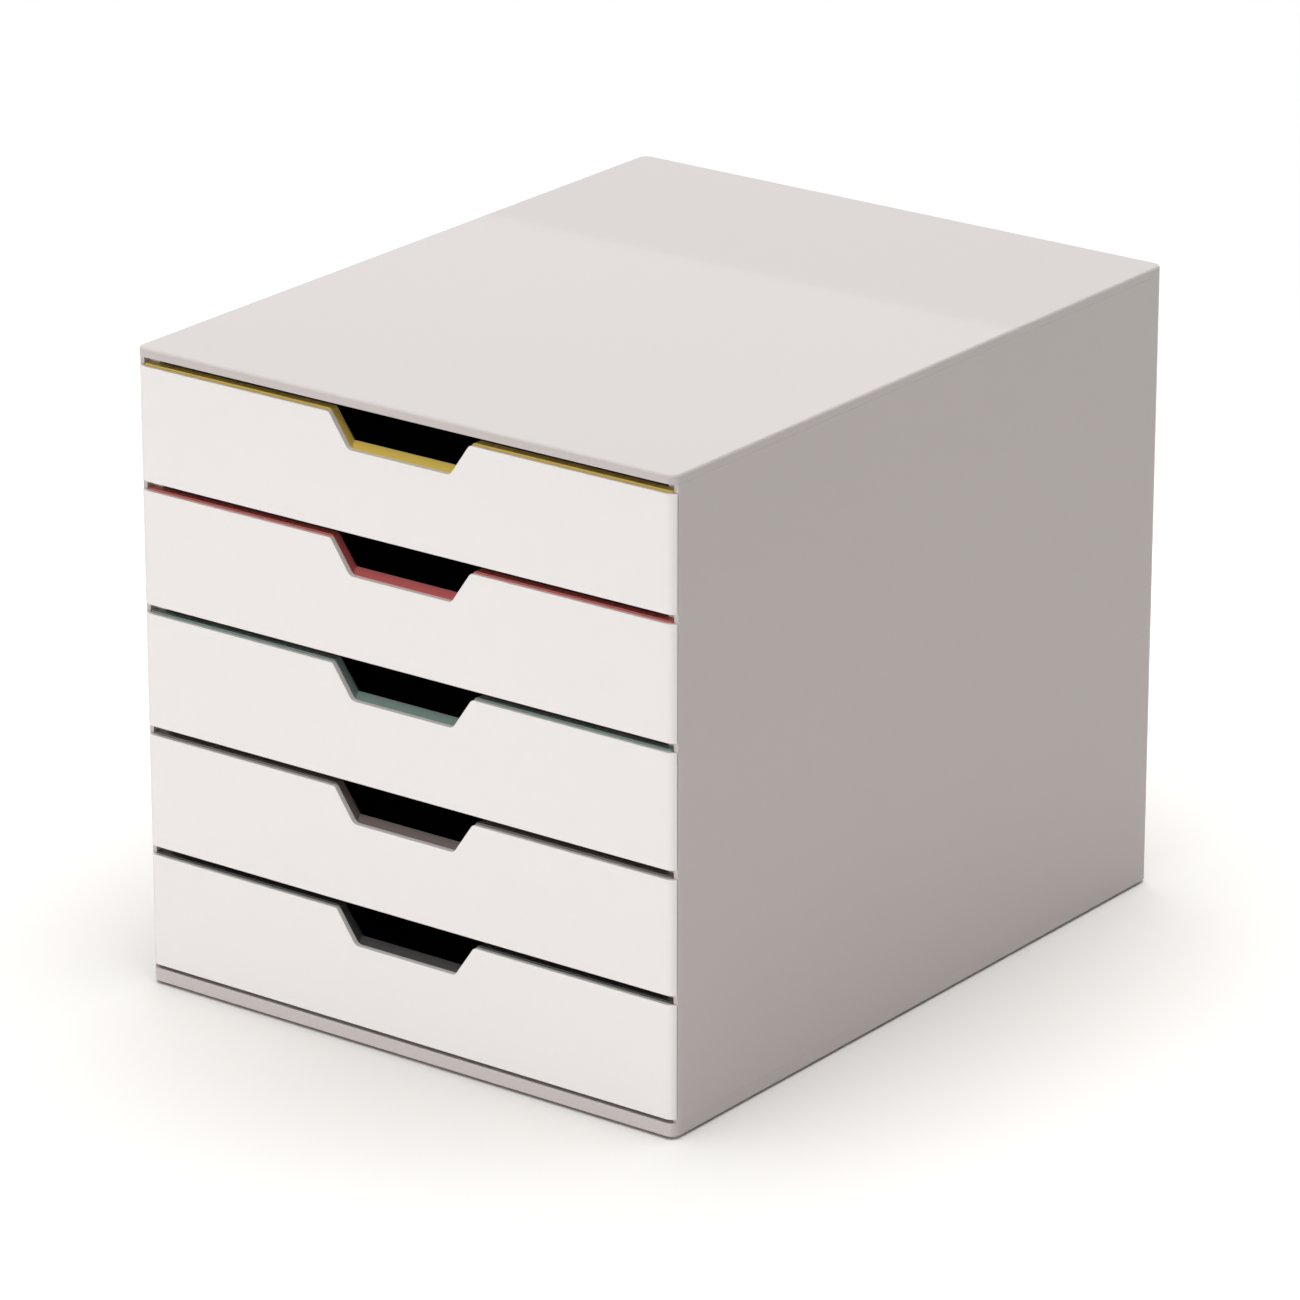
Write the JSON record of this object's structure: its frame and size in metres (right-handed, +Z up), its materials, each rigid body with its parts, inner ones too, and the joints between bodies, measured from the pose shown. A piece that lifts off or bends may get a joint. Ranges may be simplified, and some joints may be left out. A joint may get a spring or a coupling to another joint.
{
  "type": "desktop drawer box",
  "caption": "Light grey desktop drawer box with full-width white drawer fronts, coloured grip frames in trapezoid finger cut-outs, and dark trays that slide out to stops.",
  "frame": {"origin": "on the table, under the middle of the box", "axes": "+X to the right across the fronts, -Y out of the fronts (the way the drawers pull out), +Z up"},
  "size_m": [0.282, 0.356, 0.289],
  "materials": {
    "casing_plastic": "light grey, satin-gloss moulded polystyrene",
    "front_plastic": "white, satin moulded polystyrene",
    "tray_plastic": "anthracite, fine-textured moulded polystyrene",
    "grip_yellow": "mustard yellow moulded plastic",
    "grip_red": "coral red moulded plastic",
    "grip_teal": "petrol green moulded plastic",
    "grip_taupe": "taupe moulded plastic",
    "grip_anthracite": "anthracite moulded plastic",
    "rubber": "black soft rubber"
  },
  "bodies": {
    "casing": {"top_cover": "casing_plastic", "base_tray": "casing_plastic", "left_side_panel": "casing_plastic", "right_side_panel": "casing_plastic", "rear_panel": "casing_plastic", "foot_front_left": "rubber", "foot_front_right": "rubber", "foot_rear_left": "rubber", "foot_rear_right": "rubber"},
    "drawer_1": {"drawer_front_1": "front_plastic", "grip_frame_1": "grip_yellow", "drawer_tray_1": "tray_plastic"},
    "drawer_2": {"drawer_front_2": "front_plastic", "grip_frame_2": "grip_red", "drawer_tray_2": "tray_plastic"},
    "drawer_3": {"drawer_front_3": "front_plastic", "grip_frame_3": "grip_teal", "drawer_tray_3": "tray_plastic"},
    "drawer_4": {"drawer_front_4": "front_plastic", "grip_frame_4": "grip_taupe", "drawer_tray_4": "tray_plastic"},
    "drawer_5": {"drawer_front_5": "front_plastic", "grip_frame_5": "grip_anthracite", "drawer_tray_5": "tray_plastic"}
  },
  "joints": [
    {"name": "drawer_1_slide", "type": "slide", "parent": "casing", "child": "drawer_1", "axis": [0, -1, 0], "range_m": [0, 0.24]},
    {"name": "drawer_2_slide", "type": "slide", "parent": "casing", "child": "drawer_2", "axis": [0, -1, 0], "range_m": [0, 0.24]},
    {"name": "drawer_3_slide", "type": "slide", "parent": "casing", "child": "drawer_3", "axis": [0, -1, 0], "range_m": [0, 0.24]},
    {"name": "drawer_4_slide", "type": "slide", "parent": "casing", "child": "drawer_4", "axis": [0, -1, 0], "range_m": [0, 0.24]},
    {"name": "drawer_5_slide", "type": "slide", "parent": "casing", "child": "drawer_5", "axis": [0, -1, 0], "range_m": [0, 0.24]}
  ]
}
